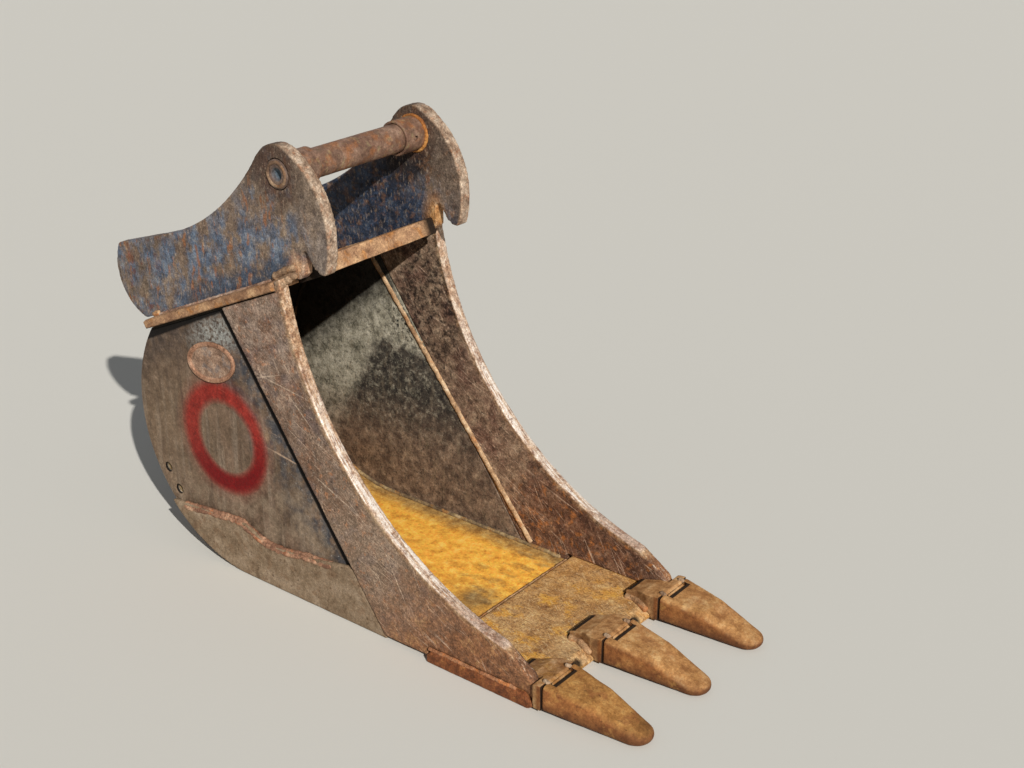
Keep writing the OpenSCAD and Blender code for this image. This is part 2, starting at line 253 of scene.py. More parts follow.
class Masks(Clouds):
    """Patterns that are 1 where something lies, by its place or by the way its surface turns."""

    def near(self, x, z, inner, outer, y=None, stretch=(1, 1), turn=0, ragged=0, size=25, seed=3):
        """1 up to inner mm from a place, 0 beyond outer mm. Without y it runs through the whole width."""
        sizes = (stretch[0] * MM, EVERY * MM if y is None else MM, stretch[1] * MM)
        place = add(self.tree, "Mapping", {
            "Vector": self.where, "Location": spot(x, y or 0, z), "Rotation": (0, turn, 0),
            "Scale": sizes}, vector_type="TEXTURE").outputs[0]
        reach = add(self.tree, "VectorMath", {0: place}, operation="LENGTH").outputs["Value"]
        if ragged:
            reach = self.torn(reach, ragged, size, seed)
            inner, outer = inner + ragged / 2, outer + ragged / 2
        return add(self.tree, "MapRange", {"Value": reach, "From Min": inner, "From Max": outer,
                                           "To Min": 1, "To Max": 0}).outputs[0]

    def past(self, point, direction, soft=4, ragged=0, size=25, seed=5):
        """1 beyond the plane through a point (frame metres) that faces a direction, 0 short of it."""
        ahead = Vector(direction).normalized()
        reach = add(self.tree, "VectorMath", {0: self.where, 1: ahead},
                    operation="DOT_PRODUCT").outputs["Value"]
        if ragged:
            reach = self.torn(reach, ragged * MM, size, seed)
        start = ahead.dot(point) + (ragged - soft) / 2 * MM
        return add(self.tree, "MapRange", {"Value": reach, "From Min": start,
                                           "From Max": start + soft * MM}).outputs[0]

    def band(self, low, high, soft=1):
        """1 between two distances in mm forward of the back."""
        start = self.past(spot(low, 0, 0), (1, 0, 0), soft)
        end = self.past(spot(high, 0, 0), (-1, 0, 0), soft)
        return add(self.tree, "Math", {0: start, 1: end}, operation="MULTIPLY").outputs[0]

    def across(self, start, end, rows=False):
        """0 at start mm and 1 at end mm from the middle of the bucket, or of the nearest row of teeth."""
        sideways = add(self.tree, "SeparateXYZ", {0: self.where}).outputs["Y"]
        away = add(self.tree, "Math", {0: sideways, 1: ROW_STEP / 2 * MM},
                   operation="PINGPONG" if rows else "ABSOLUTE").outputs[0]
        return add(self.tree, "MapRange", {"Value": away, "From Min": start * MM,
                                           "From Max": end * MM}).outputs[0]

    def edges(self, radius, low=0.02, high=0.12):
        """1 on edges and corners: where the normal of a rounded edge leaves the face's own."""
        bevel = add(self.tree, "Bevel", {"Radius": radius * MM}, samples=4).outputs[0]
        face = add(self.tree, "NewGeometry").outputs["Normal"]
        same = add(self.tree, "VectorMath", {0: bevel, 1: face}, operation="DOT_PRODUCT").outputs["Value"]
        return add(self.tree, "MapRange", {"Value": same, "From Min": 1 - low,
                                           "From Max": 1 - high}).outputs[0]

    def facing(self, direction, low=0.3, high=0.8):
        """1 on faces that look this way."""
        face = add(self.tree, "NewGeometry").outputs["Normal"]
        toward = add(self.tree, "VectorMath", {0: face, 1: direction},
                     operation="DOT_PRODUCT").outputs["Value"]
        return add(self.tree, "MapRange", {"Value": toward, "From Min": low, "From Max": high}).outputs[0]


print("masks:", [name for name in vars(Masks) if not name.startswith("_")])

# %% [markdown]
# ## Layers
# A layer can bring a colour, a roughness, some bare metal and a height. With several materials on one
# piece the borders would follow its faces. Mixing by masks lets rust creep as it likes. Rust is a dull
# mineral skin, so its gloss is well under the usual 0.5.

# %% Layers on a ground
RUST_GLOSS = 0.18
GREYS = tones("#545454 #bcbcbc #f6f6f6", 0.0, 0.5, 1.0)


class Finish(Masks):
    """One material: a ground, then layers that each lie over those before."""

    def __init__(self, name, stops, size, seed=0, rough=0.75):
        super().__init__(name)
        self.rough, self.metal, self.height = rough, 0.0, None
        ground = self.clouds(size, 0.28, 0.72, seed=seed, detail=9, grit=0.68)
        self.colour = add(self.tree, "ValToRGB", {"Fac": ground}, stops=stops).outputs[0]

    def cover(self, *masks, colour=None, share=1.0, rough=None, metal=None, lift=0):
        """Lays a colour (a hex code or stops), a roughness and a height in mm where all masks are 1."""
        mask = masks[0]
        for other in masks[1:] + ((share,) if share < 1 else ()):
            mask = add(self.tree, "Math", {0: mask, 1: other}, operation="MULTIPLY").outputs[0]
        if colour:
            over = srgb(colour) if isinstance(colour, str) else add(self.tree, "ValToRGB", {
                "Fac": self.clouds(22, 0.3, 0.7, seed=9, detail=8, grit=0.7)}, stops=colour).outputs[0]
            self.colour = add(self.tree, "Mix", {0: mask, 6: self.colour, 7: over},
                              data_type="RGBA").outputs[2]
        if rough is not None:
            self.rough = add(self.tree, "Mix", {0: mask, 2: self.rough, 3: rough}).outputs[0]
        if metal is not None:
            self.metal = add(self.tree, "Mix", {0: mask, 2: self.metal, 3: metal}).outputs[0]
        if lift:
            below = 0.0 if self.height is None else self.height
            self.height = add(self.tree, "Math", {0: mask, 1: lift * MM, 2: below},
                              operation="MULTIPLY_ADD").outputs[0]

    def patches(self, size, low, high, seed, colour, share, *masks, detail=8, grit=0.6, **look):
        """Covers clouds about size mm across with a share of a colour, inside the masks."""
        cloud = self.clouds(size, low, high, seed=seed, detail=detail, grit=grit)
        self.cover(*masks, cloud, colour=colour, share=share, **look)

    def close(self, grain=0.45, blotches=0.3, pits=0.35, pit_size=7):
        """Breaks the colour up into grains and blotches, presses in the rust's pits and adds the shader."""
        # The real grain is under a millimetre. 3.6 mm is as fine as shows from the camera.
        for size, share, seed in ((3.6, grain, 17), (10, blotches, 19)):
            cloud = self.clouds(size, 0.3, 0.7, seed=seed, detail=5, grit=0.8)
            grey = add(self.tree, "ValToRGB", {"Fac": cloud}, stops=GREYS).outputs[0]
            self.colour = add(self.tree, "Mix", {0: share, 6: self.colour, 7: grey}, data_type="RGBA",
                              blend_type="OVERLAY").outputs[2]
        self.cover(self.clouds(pit_size, 0.35, 0.7, seed=23, detail=6, grit=0.7), lift=pits)
        bump = add(self.tree, "Bump", {"Strength": 1.0, "Distance": 1.0, "Height": self.height}).outputs[0]
        shader = add(self.tree, "BsdfPrincipled", {
            "Base Color": self.colour, "Roughness": self.rough, "Metallic": self.metal,
            "Specular IOR Level": RUST_GLOSS, "Normal": bump}).outputs[0]
        add(self.tree, "OutputMaterial", {"Surface": shader})
        print("finish:", self.material.name, len(self.tree.nodes), "nodes")
        return self.material


# %% [markdown]
# ## Side bars: rust all over
# The side bars are hot-rolled plate, brown and mottled from weather. One noise in two browns would look
# like camouflage. Real rust comes in patches of every size, so clouds from 7 to 90 mm lie over each
# other, each in its own tone: chocolate, grey dust, fresh orange, dark pits.

# %% Side bars: rust all over
UPRIGHT = (0, 0, 1)
OUTWARDS = (0, -1, 0)
# Hot-rolled steel: a matt, mottled brown, with no shine but on its rubbed edge.
bar = Finish("hot_rolled_bar_rusted", tones("#534136 #6d5849 #806a5a #9a8473", 0.1, 0.4, 0.62, 0.9), 50)
bar.patches(90, 0.5, 0.62, 1, "#67432e", 0.55, detail=6)
bar.patches((24, 24, 60), 0.54, 0.7, 2, "#97877a", 0.45, detail=6)
bar.patches(44, 0.52, 0.64, 21, "#82543a", 0.45, detail=9, grit=0.72)
bar.patches(38, 0.53, 0.62, 26, "#625759", 0.4)
bar.patches(15, 0.58, 0.65, 27, "#a96c42", 0.6)
bar.patches(7, 0.58, 0.66, 28, "#bca997", 0.5, detail=7)
half_way_down = bar.past(spot(560, 0, 300), (0.6, 0, -0.8), 200, 80)
bar.cover(half_way_down, colour="#a08a73", share=0.28)
top_end = bar.past(spot(430, 0, 470), (-0.5, 0, 0.85), 120, 60)
bar.patches(26, 0.4, 0.62, 20, "#ab9788", 0.5, top_end)
low_end = bar.past(spot(825, 0, 170), (0.8, 0, -1), 160, 60)
bar.cover(low_end, colour=tones("#63402a #885a3a #a5794d"), share=0.85)
bar.patches(14, 0.6, 0.68, 4, "#3f2d26", 0.7, lift=-0.3)
print("side bars:", len(bar.tree.nodes), "nodes")

# %% [markdown]
# ## Side bars: the inner face
# The face that looks into the bowl is paler and keeps a black crust near the top, where no soil reaches.
# Sliding soil leaves long light scratches. They are clouds too, 150 mm long and 4 mm wide, turned along
# the flow.


# %% Side bars: the inner face
def inner_faces(finish):
    """1 on the faces that look into the bucket."""
    return finish.across(plate_out - 6, plate_out - 8)


MOUTH = (1115, 760)
MOUTH_R = 680
inside = inner_faces(bar)
bar.cover(inside, colour=tones("#5e4a3e #89715d #ad967e", 0.15, 0.5, 0.9))
bar.patches(70, 0.46, 0.62, 5, tones("#54392f #75564a #8f7566"), 0.8, inside, detail=6)
forward = bar.past(spot(700, 0, 190), (0.9, 0, -0.6), 120, 80)
bar.cover(inside, forward, colour=tones("#483025 #694634 #8a664b"), share=0.85)
bar.patches(14, 0.54, 0.66, 7, "#ab6c38", 0.7, inside, forward)
for turn, seed in ((0.5, 11), (0.7, 12), (0.35, 23), (1.1, 24)):
    scratch = bar.clouds((150, 4, 3.4), 0.61, 0.66, turn=(0, turn, 0), seed=seed, detail=4)
    bar.patches(90, 0.44, 0.54, seed, "#cbb199", 0.65, scratch, detail=6, lift=-0.15)
rub = bar.near(*MOUTH, MOUTH_R + 4, MOUTH_R + 14, ragged=14, size=18)
bar.cover(rub, colour=tones("#795337 #9d7b57 #bca383", 0.2, 0.5, 0.8), share=0.7, rough=0.5)
crust = bar.near(425, 500, 80, 230, stretch=(0.7, 1.2), ragged=120, size=30)
bar.patches(13, 0.45, 0.58, 6, "#1b1616", 0.88, inside, crust, detail=9, grit=0.75, lift=0.4)
bar.patches(12, 0.56, 0.66, 18, "#2a211e", 0.8, inside, detail=9, grit=0.75, lift=-0.3)
bar.patches(9, 0.58, 0.68, 19, "#b39b86", 0.6, inside, grit=0.75)
print("side bars:", len(bar.tree.nodes), "nodes")

# %% [markdown]
# ## Side bars: the mouth's edge
# Soil runs over the hollow edge of the mouth at every pass and rubs it to a pale pinkish steel with a
# little shine. The mask is a ring round the centre of the mouth's arc, so it follows the edge. A few deep
# scratches cross the right side, each with its place, half length and turn.

# %% Side bars: the mouth's edge
SCRATCHES = ((420, 454, 85, 0.13), (375, 456, 70, -0.33), (560, 268, 60, 0.4), (470, 420, 46, 0.75))
shine = bar.near(*MOUTH, MOUTH_R + 2, MOUTH_R + 5)
bar.cover(shine, colour=tones("#93725b #b59880 #cfbba8", 0.2, 0.5, 0.85), share=0.85, rough=0.5)
right_side = bar.past(spot(0, 0, 0), OUTWARDS, 10)
upper = bar.past(spot(0, 0, 400), UPRIGHT, 120, 60)
bar.cover(shine, right_side, upper, colour=tones("#7c583e #a5805f #c9aa8b", 0.2, 0.5, 0.85), share=0.7)
bright = bar.near(690, 275, 160, 330, ragged=60, size=40)
streak = bar.clouds((70, 5, 70), 0.44, 0.56, seed=14)
bar.cover(shine, bright, streak, colour="#eee2d6", share=0.85, rough=0.42, metal=0.35)
bar.patches((26, 5, 26), 0.56, 0.64, 25, "#dfcdbb", 0.6, shine, detail=6, rough=0.45)
bar.cover(shine, bar.past(spot(850, 0, 0), (1, 0, 0), 80, 60), colour="#a08272", share=0.5)
for x, z, long, turn in SCRATCHES:
    scratch = bar.near(x, z, 0.6, 1.1, stretch=(long, 1.6), turn=turn, ragged=1.0, size=14)
    bar.cover(right_side, scratch, colour="#c4ad97", share=0.55, lift=-0.15)
bar.patches(14, 0.55, 0.64, 15, "#7c5238", 0.7, shine, lift=-0.2)
bar.patches(20, 0.35, 0.6, 16, "#b3967c", 0.55, bar.edges(4), detail=6)
BAR_STEEL = bar.close(grain=0.8, blotches=0.5)

# %% [markdown]
# ## Side plates: paint and rain
# The side plates lie deeper than the bars, so they kept more of their skin: streaks of rain, dried dust,
# and blue-black paint beside the bar. Rain runs down, so those clouds are ten times as tall as wide.

# %% Side plates: paint and rain
# Painted plate, worn: dust and thin dark paint over brown, streaked from top to bottom.
panel = Finish("painted_side_plate_worn", tones("#44352b #604e3e #76604f #8c7760"), 80, seed=3)
dusty = panel.near(40, 300, 60, 260, ragged=120, size=60)
panel.cover(dusty, colour=tones("#715d49 #846f59 #9a856f"), share=0.7)
panel.patches((16, 16, 160), 0.5, 0.66, 4, "#9c8b79", 0.45, detail=6)
panel.patches((12, 12, 120), 0.54, 0.68, 6, "#4b3f37", 0.5, detail=6)
paint = panel.past(spot(395, 0, 250), (0.83, 0, 0.56), 120, 130, size=45)
panel.patches(26, 0.4, 0.58, 7, tones("#272b33 #3e434a #595958", 0.2, 0.55, 0.85), 0.85, paint)
high = panel.past(spot(200, 0, 478), (-0.4, 0, 0.91), 50, 50)
panel.patches(22, 0.36, 0.56, 8, tones("#2f3238 #45464a #5d5a57"), 0.85, high)
low = panel.past(spot(200, 0, 190), (0.25, 0, -0.97), 90, 70)
panel.patches(40, 0.42, 0.6, 21, "#93806b", 0.6, low, detail=6)
rear = panel.past(spot(110, 0, 390), (-0.55, 0, 0.83), 90, 90)
panel.cover(rear, colour=tones("#42352b #5e4d40 #7b6857"), share=0.7)
panel.patches(5, 0.56, 0.66, 24, "#a79f96", 0.55, paint, grit=0.75)
corner = panel.near(245, 505, 20, 90, stretch=(1.2, 0.55), turn=-0.42, ragged=40, size=20)
panel.patches(7, 0.42, 0.56, 25, "#a3a49e", 0.8, corner, grit=0.7)
right_side = panel.past(spot(0, 0, 0), OUTWARDS, 10)
scratch = panel.near(413, 297, 0.6, 1.1, stretch=(48, 2.2), turn=0.14, ragged=0.8, size=8)
panel.cover(right_side, scratch, colour="#ab917a", share=0.8)
print("side plates:", len(panel.tree.nodes), "nodes")

# %% [markdown]
# ## Side plates: the sprayed ring
# A workshop once sprayed a red ring on the right side: a disc less a smaller disc, with torn borders and
# a thin halo of overspray. Shadows are painted in, near-black, where the bar and the top plate stand
# proud of the plate, and shade is painted into the two holes.

# %% Side plates: the sprayed ring
UP_SLOPE = (-0.404, 0, 0.915)
RING, RING_HOLE = (245, 287), (251, 287)
RING_OUT, RING_IN = 118, 79
BAR_FOOT = 673
BAR_LEAN = radians(55.4)
SIDE_HOLES = ((63.3, 166.1), (91.9, 124.8))
sprayed = panel.near(*RING, RING_OUT - 12, RING_OUT + 7, ragged=8, size=60)
core = panel.near(*RING_HOLE, RING_IN - 9, RING_IN + 7, ragged=8, size=60, seed=6)
hollow = add(panel.tree, "Math", {0: 1.0, 1: core}, operation="SUBTRACT").outputs[0]
outer = panel.past(spot(0, -plate_out + 4, 0), OUTWARDS, 2)
halo = panel.near(*RING, RING_OUT - 4, RING_OUT + 26, ragged=14, size=40)
panel.cover(halo, hollow, outer, colour="#7d3a30", share=0.35)
red = tones("#741812 #8d231b #9a3026", 0.2, 0.55, 0.9)
panel.cover(sprayed, hollow, outer, colour=red, share=0.9, rough=0.6)
low_ring = panel.past(spot(RING[0], 0, RING[1] - 30), (0.3, 0, -1), 80)
panel.cover(sprayed, hollow, outer, low_ring, colour="#6b0408", share=0.92)
# Painted shadows: a near-black band behind the bar's rear edge, where the bar casts its shadow, and one
# under the top plate's overhang.
crease = panel.past(spot(BAR_FOOT - 28, 0, 0), (sin(BAR_LEAN), 0, cos(BAR_LEAN)), 3, 4, size=30)
under_top = panel.past(spot(73, 0, 502) - Vector(UP_SLOPE) * 38 * MM, (-0.443, 0, 0.8965), 4, 4, size=30)
for painted_shade in (crease, under_top):
    panel.cover(painted_shade, outer, colour="#0e0c0b", share=0.96, rough=0.95)
# Painted shade: the walls of the two holes are near-black.
deep = panel.across(plate_out - 0.5, plate_out - 2)
for x, z in SIDE_HOLES:
    panel.cover(deep, panel.near(x, z, 12, 13), colour="#0e0c0b", share=0.96, rough=0.95)
print("side plates:", len(panel.tree.nodes), "nodes")

# %% [markdown]
# ## Side plates: inside the bowl
# Dried clay left the inner face a pale grey-green. A black crust with a hard diagonal border lies on it,
# the low part, which soil sweeps, is brown again, and the rearmost top corner is painted almost black as
# shade.

# %% Side plates: inside the bowl
inside = inner_faces(panel)
panel.cover(inside, colour=tones("#6e6a5b #a09a88 #c5beab", 0.15, 0.45, 0.85))
ahead = panel.past(spot(196, 0, 228), (0.87, 0, -0.49), 26, 90, size=40)
under = panel.past(spot(330, 0, 372), (-0.05, 0, -1), 20, 70, size=36)
panel.patches(11, 0.32, 0.5, 12, tones("#1d1b1f #37322f #62584c", 0.15, 0.5, 0.9), 0.95, inside, ahead,
              under, detail=9, grit=0.75, lift=0.3)
low_inside = panel.past(spot(330, 0, 205), (0.1, 0, -1), 110, 70)
panel.cover(inside, low_inside, colour=tones("#59483d #826c5b #a48c75"), share=0.75)
rib = panel.near(350, 420, 20, 110, stretch=(0.5, 1), turn=-0.6, ragged=70, size=26)
panel.patches(8, 0.5, 0.58, 13, "#191a1b", 1, inside, rib, lift=0.3)
panel.patches((14, 14, 50), 0.55, 0.68, 14, "#8f8069", 0.3, inside, detail=6)
for turn, seed in ((0.45, 15), (0.2, 16)):
    scratch = panel.clouds((140, 4, 4), 0.66, 0.72, turn=(0, turn, 0), seed=seed, detail=4)
    panel.patches(90, 0.52, 0.62, seed, "#b89b80", 0.5, scratch, detail=6)
panel.patches(7, 0.5, 0.64, 18, "#26231f", 0.85, inside, detail=9, grit=0.8, lift=0.2)
panel.patches(5, 0.58, 0.68, 22, "#c9bba2", 0.5, inside, grit=0.8)
# Painted shade: the top rear corner, in the top plate's shadow, is near-black.
rearmost = panel.past(spot(300, 0, 480), (-0.6, 0, 0.8), 60, 60)
panel.cover(inside, rearmost, colour="#0f0d0d", share=0.9, rough=0.95)
panel.cover(panel.edges(3), colour="#8d7560", share=0.5)
SIDE_STEEL = panel.close(grain=0.5, blotches=0.25)

# %% [markdown]
# ## Ears: worn paint
# The ears carry the coupler and never touch soil. Half of their blue-black enamel is still on, broken up
# by dull brown rust. Enamel is a skin, so it stands a quarter of a millimetre proud and is smoother than
# rust.

# %% Ears: worn paint
# Enamel on thick plate: smooth blue-black islands with hard borders on a dull brown.
ear = Finish("blue_black_paint_on_rust", tones("#51423a #6b5a4e #83705f #9c8977"), 34, seed=5)
ear.patches((18, 18, 60), 0.5, 0.64, 16, "#98836d", 0.45)
blue = tones("#303a48 #495a70 #647589 #888d92", 0.15, 0.4, 0.65, 0.9)
enamel = {"rough": 0.6, "lift": 0.25}
low = ear.past(spot(250, 0, 765), (0.25, 0, -0.97), 150, 120, size=60)
ear.patches((38, 38, 64), 0.43, 0.55, 2, blue, 0.85, low, detail=9, grit=0.64, **enamel)
ear.patches((24, 24, 48), 0.57, 0.64, 3, blue, 0.6, detail=9, grit=0.66, **enamel)
foot = spot(46, 0, 490) + Vector(UP_SLOPE) * 34 * MM
foot_line = ear.past(foot, (-UP_SLOPE[0], 0, -UP_SLOPE[2]), 16, 24, size=20)
ear.patches((30, 30, 14), 0.36, 0.52, 17, "#3b4554", 0.8, foot_line,
            ear.past(spot(150, 0, 0), (1, 0, 0), 60))
ear.patches((13, 13, 38), 0.58, 0.64, 1, "#93603c", 0.7)
rear = ear.past(spot(10, 0, 0), (-1, 0, 0.1), 50, 70)
ear.patches(30, 0.4, 0.6, 9, "#5d5043", 0.65, rear, detail=6)
ear.patches(26, 0.56, 0.64, 18, "#6d3f2e", 0.6, rear, detail=6)
ear.cover(ear.past(spot(380, 0, 800), (0.2, 0, 1), 60, 60), colour="#45372e", share=0.75)
hook_side = ear.past(spot(478, 0, 700), (1, 0, 0.1), 40, 40)
ear.cover(hook_side, colour=tones("#65564b #82705f #a39080", 0.2, 0.5, 0.9), share=0.75)
print("ears:", len(ear.tree.nodes), "nodes")

# %% [markdown]
# ## Ears: inner faces and edges
# The shaft's shadow is painted black on the inner faces, and the coupler rubbed the hook's front edge pale.
# Worn edges come from a Bevel node, which tells where the surface turns a corner.

# %% Ears: inner faces and edges
PIN = (420, 846)
EAR_FRONT, EAR_FRONT_R = (365, 738), 176
inside = ear.past(spot(0, 0, 0), (0, 1, 0), 10)
ear.cover(inside, colour="#4a3e37", share=0.4)
# Painted shadow: the shaft's shadow on the inner face, a stretched black ellipse.
painted_pin_shadow = ear.near(350, 745, 0.75, 1.1, stretch=(150, 42), turn=-0.6, ragged=0.2, size=20)
ear.cover(inside, painted_pin_shadow, colour="#141115", share=0.85, rough=0.95)
dark = ear.past(spot(330, 0, 760), (-0.35, 0, -0.94), 60, 90, size=40)
ear.patches(14, 0.36, 0.5, 6, tones("#1a2130 #2f3b4f #4e5a6c"), 1, inside, dark, rough=0.55)
ear.patches(20, 0.54, 0.64, 7, "#7f5a3e", 0.45, inside)
root = ear.near(470, 690, 12, 60, stretch=(0.6, 1), ragged=30, size=20)
ear.cover(inside, root, colour=tones("#9c6a3a #bd8a52 #d3ac7c"), share=0.85)
outside = ear.past(spot(0, 0, 0), OUTWARDS, 10)
peach = ear.near(458, 682, 10, 30, ragged=34, size=14)
ear.cover(outside, peach, colour=tones("#8c6046 #b58762 #d2ae8d", 0.2, 0.5, 0.9), share=0.9)
ear.patches(14, 0.4, 0.58, 12, "#513a2f", 0.75, ear.near(*PIN, 36, 66, ragged=40, size=24))
for seed, tone in ((14, "#b5a28c"), (15, "#2c2320")):
    ear.patches((5, 5, 12), 0.56, 0.65, seed, tone, 0.42, detail=6, grit=0.7)
hook_disc = ear.near(*EAR_FRONT, EAR_FRONT_R - 7, EAR_FRONT_R - 3)
front = add(ear.tree, "Math", {0: 1.0, 1: hook_disc}, operation="SUBTRACT").outputs[0]
ahead = ear.past(spot(EAR_FRONT[0] + 70, 0, EAR_FRONT[1]), (1, 0, 0.1), 60, 30)
ear.cover(front, ahead, colour=tones("#7b6350 #a18974 #c6b29d", 0.2, 0.5, 0.85), share=0.85)
ear.patches(13, 0.54, 0.64, 13, "#935f40", 0.5, front, ahead)
ear.patches(14, 0.3, 0.5, 8, tones("#a5825f #caab87 #e2cdb0"), 0.9, ear.edges(6, 0.03, 0.25), ahead,
            detail=6)
ear.patches(14, 0.4, 0.6, 19, "#8d6f58", 0.6, ear.edges(5, 0.03, 0.25), detail=6)
EAR_PAINT = ear.close(grain=0.85, blotches=0.4)

# %% [markdown]
# ## Floor and back
# Fresh rust is orange. It is freshest where soil rubs the steel bare and rain then stands, so the floor
# glows and the outside of the same plate stays brown and dusty. The inside is found by the back's own
# arc.

# %% Floor and back
JOINT = node_box("tooth_middle")[0].x - 2
STRAP_REAR = JOINT - 82
# Rolled plate: a bright, even orange inside and a dusty brown outside.
shell = Finish("rolled_shell_rusted", tones("#524235 #6e5a48 #836e5a #98846f"), 70, seed=7)
bowl_mid = shell.near(300, 300, 290, 292)
ahead = shell.past(spot(300, 0, 8), (1, 0, 0), 4)
above = shell.past(spot(300, 0, 12), UPRIGHT, 2)
floor_top = add(shell.tree, "Math", {0: ahead, 1: above}, operation="MULTIPLY").outputs[0]
inner = add(shell.tree, "Math", {0: bowl_mid, 1: floor_top}, operation="MAXIMUM").outputs[0]
shell.cover(inner, colour=tones("#d08f38 #f0ab44 #ffbd4e #ffd068", 0.1, 0.35, 0.6, 0.9))
shell.patches((60, 40, 60), 0.54, 0.66, 8, "#b27a35", 0.45, inner)
toward_lip = shell.past(spot(640, 0, 16), (1, 0, 0), 120, 150, size=60)
shell.patches((44, 24, 44), 0.5, 0.62, 9, tones("#6b5232 #937244 #b09058"), 0.55, inner, toward_lip)
damp = shell.near(728, 16, 15, 75, y=-35, ragged=50, size=18)
shell.cover(inner, damp, colour=tones("#4f4230 #786348 #9c8560"), share=0.8)
for side in (LEFT, RIGHT):
    dust = shell.past(spot(0, side * 165, 0), (0, side, 0), 40, 40, size=25, seed=10 + side)
    shell.cover(inner, dust, colour=tones("#5d4a34 #8f7a56 #a99571"), share=0.75)
# Painted shade: the upper inside of the back, under the top plate, is near-black.
high = shell.past(spot(0, 0, 300), (-0.3, 0, 0.95), 120, 90)
shell.cover(inner, high, colour=tones("#0c0a0a #141110 #1e1815"), share=0.95, rough=0.95)
# Painted shade: the rearmost inside strip, seen through the side holes, is near-black.
rear = shell.past(spot(120, 0, 0), (-1, 0, 0.2), 80, 40)
shell.cover(inner, rear, colour="#0c0a0a", share=0.95, rough=0.95)
shell.patches(7, 0.62, 0.69, 12, "#5f4020", 0.4, detail=7)
SHELL_STEEL = shell.close(grain=0.4, blotches=0.3)

# %% [markdown]
# ## Cutting lip
# The lip is bare steel under thin orange rust. Stones comb it with fine scratches, each family turned a
# little and in its own tone. Its ends stand out as red-brown shoes. Near-black spots with torn borders are
# painted shade: behind the straps and in the gaps of its front edge beside the teeth.

# %% Cutting lip
PAINTED_SHADE_HEIGHT = 18
# Scratched plate: an even yellow-brown, crossed by fine light and dark lines.
lip = Finish("cutting_lip_scratched", tones("#835a38 #ab8052 #c49a67 #d8b07c"), 40, seed=9)
lip.patches((70, 45, 70), 0.52, 0.6, 1, "#e5a540", 0.7)
for seed, turn, tone in ((2, -0.6, "#e6c799"), (3, 0.3, "#74502f"), (4, 0.95, "#dcb680"),
                         (5, -0.15, "#835c38"), (6, 1.5, "#8a6540")):
    scratch = lip.clouds((17, 2.4, 8), 0.57, 0.65, turn=(0, 0, turn), seed=seed, detail=4)
    lip.cover(scratch, colour=tone, share=0.6, lift=-0.12)
for side in (LEFT, RIGHT):
    shoe = lip.past(spot(0, side * (bar_out - 6), 0), (0, side, 0), 10, 6)
    lip.cover(shoe, colour=tones("#532f1f #703f26 #84502f #96633b", 0.2, 0.5, 0.75, 0.95), share=0.97)
lip.patches(12, 0.4, 0.6, 7, "#a06c42", 0.5, lip.edges(5, 0.03, 0.2), detail=6)
lip.patches(26, 0.38, 0.6, 11, "#c68f4a", 0.45, lip.past(spot(0, 40, 0), (0, 1, 0), 140, 80))
near_teeth = lip.past(spot(965, 0, 28), (1, 0, 0), 50, 60, size=30)
between_bars = lip.across(bar_out - 8, bar_out - 12)
lip.patches(24, 0.42, 0.6, 10, "#c9ad84", 0.5, near_teeth, lip.facing(UPRIGHT), between_bars, detail=6)
# Painted shade: near-black spots in the gaps at the lip's front edge, beside the teeth.
for row in (0, 1):
    for y in (-106, -88):
        hollow = lip.near(lip_front - 8, PAINTED_SHADE_HEIGHT, 6, 14, y=row * ROW_STEP + y, ragged=14, size=9)
        lip.cover(hollow, colour="#120e0c", share=0.95, rough=0.95)
# Painted shadow: a near-black band behind each strap's rear end.
painted_shadow_behind_straps = lip.band(STRAP_REAR - 8, STRAP_REAR + 2)
lip.cover(painted_shadow_behind_straps, lip.across(38, 34, rows=True), colour="#14100d", share=0.92, rough=0.95)
lip.patches(10, 0.62, 0.7, 8, "#4a2f1e", 0.7, detail=6, lift=-0.3)
LIP_STEEL = lip.close(grain=0.7, blotches=0.35)
